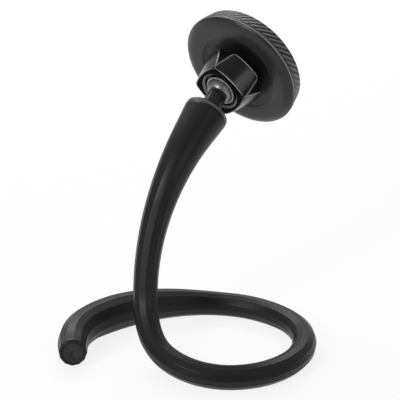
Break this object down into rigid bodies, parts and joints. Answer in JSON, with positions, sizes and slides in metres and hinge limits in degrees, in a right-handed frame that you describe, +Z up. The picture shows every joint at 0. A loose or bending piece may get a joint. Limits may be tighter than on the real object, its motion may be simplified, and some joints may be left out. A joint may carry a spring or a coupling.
{
  "type": "magnetic phone holder",
  "caption": "Bendable arm wound into a table loop, rising to a tilted round magnetic phone head on a clamped ball joint.",
  "frame": {"origin": "bottom centre of the bounding box, on the table under the arm's loop", "axes": "+Z up from the table, +Y to the back, the way the arm leans and the phone side faces, +X to the right; the tail lies at the left front"},
  "size_m": [0.119, 0.1389, 0.1413],
  "materials": {
    "sleeve": "dark grey silicone rubber, matt, with soft flats",
    "cap": "dark grey plastic, matt",
    "collar": "black plastic, glossy",
    "nut": "black plastic, glossy",
    "shell": "dark grey plastic, satin",
    "band": "dark grey plastic with a fine slanted weave",
    "inner_plastic": "black plastic, plain",
    "pad": "dark silicone rubber, matt",
    "ball_metal": "grey steel, satin",
    "steel": "steel, plain",
    "magnet": "nickel plated",
    "black_metal": "aluminium, black"
  },
  "bodies": {
    "arm": {"arm_sleeve": "sleeve", "arm_core": "steel", "tail_cap": "cap", "tail_ferrule": "black_metal", "head_ferrule": "black_metal", "collar": "collar"},
    "stud": {"ball_stud": "ball_metal"},
    "seat": {"ball_seat": "inner_plastic"},
    "head": {"rear_shell": "shell", "magnet_tray": "inner_plastic", "magnets": "magnet", "shield_plate": "steel", "front_shell": "inner_plastic", "rim_band": "band", "front_pad": "pad", "shell_screws": "steel"},
    "press": {"pressure_ring": "inner_plastic"},
    "nut": {"clamp_nut": "nut"}
  },
  "joints": [
    {"name": "head_pan", "type": "hinge", "parent": "arm", "child": "stud", "pos_m": [0.01568, 0.03238, 0.10608], "axis": [0.4668, 0.7189, 0.515], "continuous": true},
    {"name": "head_tilt", "type": "hinge", "parent": "stud", "child": "seat", "pos_m": [0.01568, 0.03238, 0.10608], "axis": [-0.6913, 0.6599, -0.2944], "range_deg": [-33.9, 10.1]},
    {"name": "head_spin", "type": "hinge", "parent": "seat", "child": "head", "pos_m": [0.01568, 0.03238, 0.10608], "axis": [0.5702, 0.7484, 0.3387], "continuous": true},
    {"name": "nut_travel", "type": "slide", "parent": "head", "child": "press", "axis": [-0.5702, -0.7484, -0.3387], "range_m": [0, 0.0015]},
    {"name": "nut_turn", "type": "hinge", "parent": "press", "child": "nut", "pos_m": [0.01568, 0.03238, 0.10608], "axis": [-0.5702, -0.7484, -0.3387], "range_deg": [0, 360]}
  ],
  "couplings": [
    {"joint": "nut_travel", "follows": "nut_turn", "m_per_rad": 0.0002387}
  ]
}
